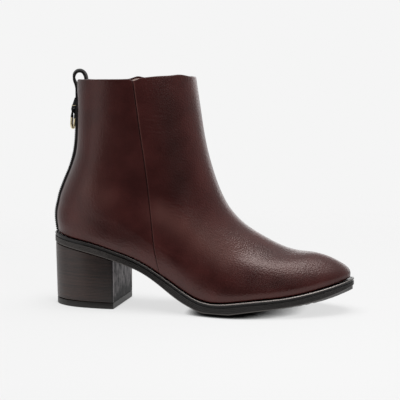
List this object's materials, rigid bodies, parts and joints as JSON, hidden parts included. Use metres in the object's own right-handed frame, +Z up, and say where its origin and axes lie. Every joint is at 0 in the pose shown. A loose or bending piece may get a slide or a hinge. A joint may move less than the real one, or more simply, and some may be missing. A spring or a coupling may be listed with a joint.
{
  "type": "ankle boot",
  "caption": "Right leather ankle boot with an almond toe, block heel, ribbed sole edge, centre-back zip with a hanging pull, and a pull loop at the collar.",
  "frame": {"origin": "middle of the boot's box in plan, on the floor it stands on", "axes": "+X to the toe, +Y to the wearer's inner side, +Z up"},
  "size_m": [0.247, 0.0894, 0.1922],
  "materials": {
    "upper": "smooth, soft sheen",
    "insole": "matt",
    "welt": "satin",
    "outsole": "satin, ribbed side",
    "heel_block": "stained, stacked layers",
    "top_piece": "matt",
    "zip_tape": "woven",
    "zip_slider": "polished",
    "zip_pull": "polished",
    "pull_loop": "woven band"
  },
  "bodies": {
    "boot": {"upper": "upper", "insole": "insole", "welt": "welt", "outsole": "outsole", "heel_block": "heel_block", "top_piece": "top_piece", "zip_tape": "zip_tape", "zip_slider": "zip_slider", "pull_loop": "pull_loop"},
    "zip_pull": {"zip_pull": "zip_pull"}
  },
  "joints": [
    {"name": "pull_swing", "type": "hinge", "parent": "boot", "child": "zip_pull", "pos_m": [-0.10723, -0.00053, 0.1612], "axis": [0, 1, 0], "range_deg": [0, 140]}
  ]
}
